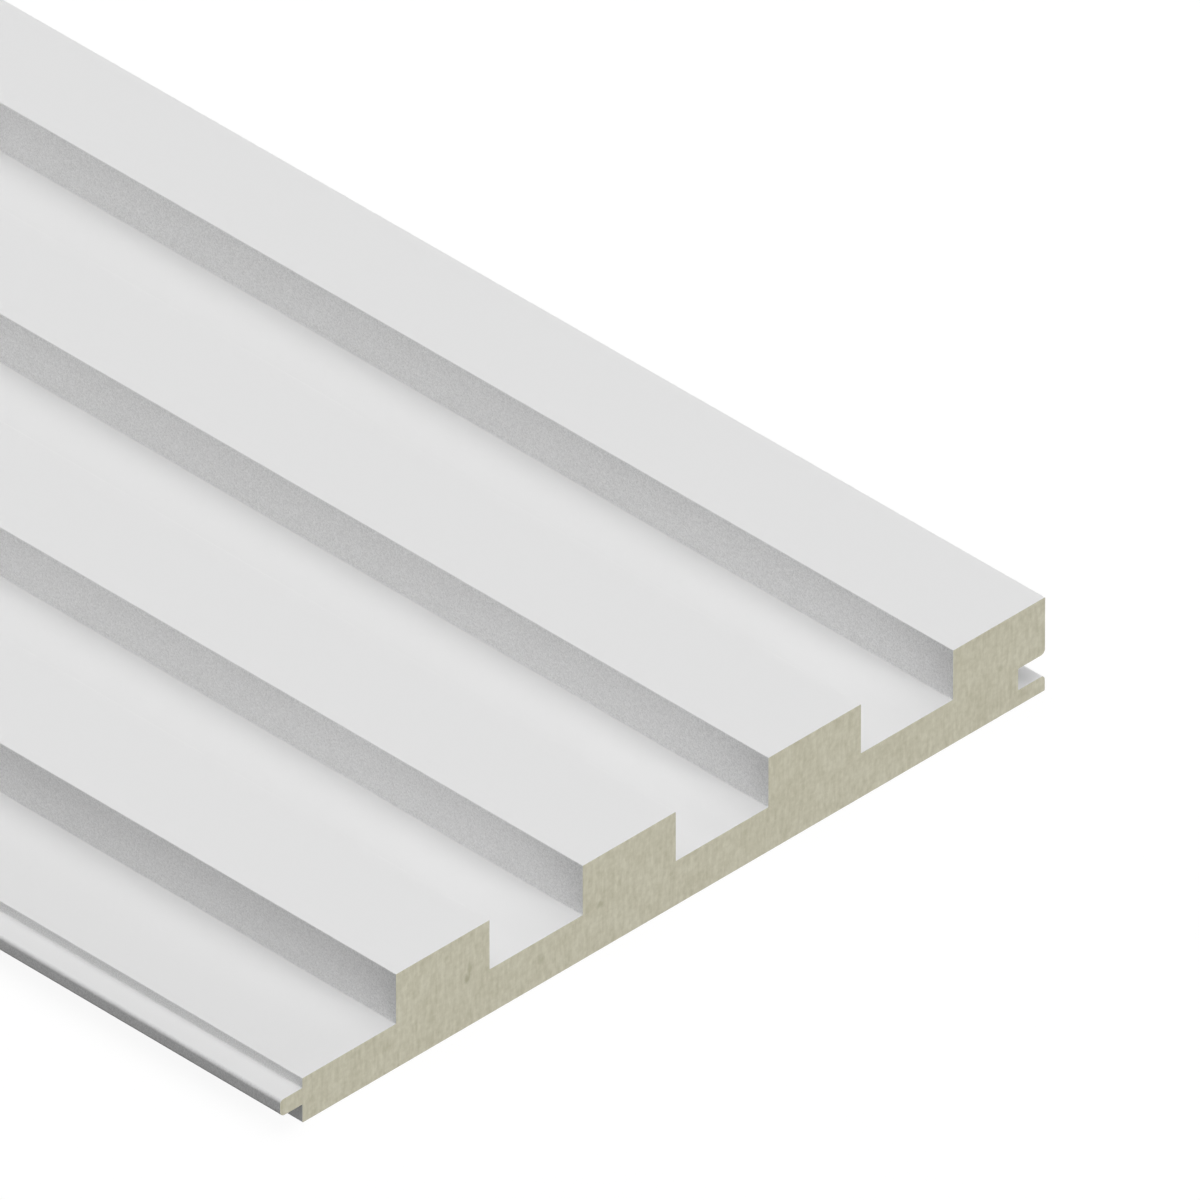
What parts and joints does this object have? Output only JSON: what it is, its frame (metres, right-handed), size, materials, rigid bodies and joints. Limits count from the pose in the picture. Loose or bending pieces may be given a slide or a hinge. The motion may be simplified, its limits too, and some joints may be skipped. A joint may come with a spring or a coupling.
{
  "type": "slatted cladding panel",
  "caption": "Long flat cladding board with parallel raised slats and channels on its face, a tongue along its left edge and a matching groove along its right edge.",
  "frame": {"origin": "on the back face, in the middle of the cover width and of the length", "axes": "+X across the panel from the tongue edge to the groove edge, +Y along the length, +Z out of the slatted face"},
  "size_m": [0.1699, 2.44, 0.018],
  "materials": {
    "primed_mdf": "white primer, matt, with bare sawn ends"
  },
  "bodies": {
    "root": {"slatted_panel": "primed_mdf"}
  },
  "joints": []
}
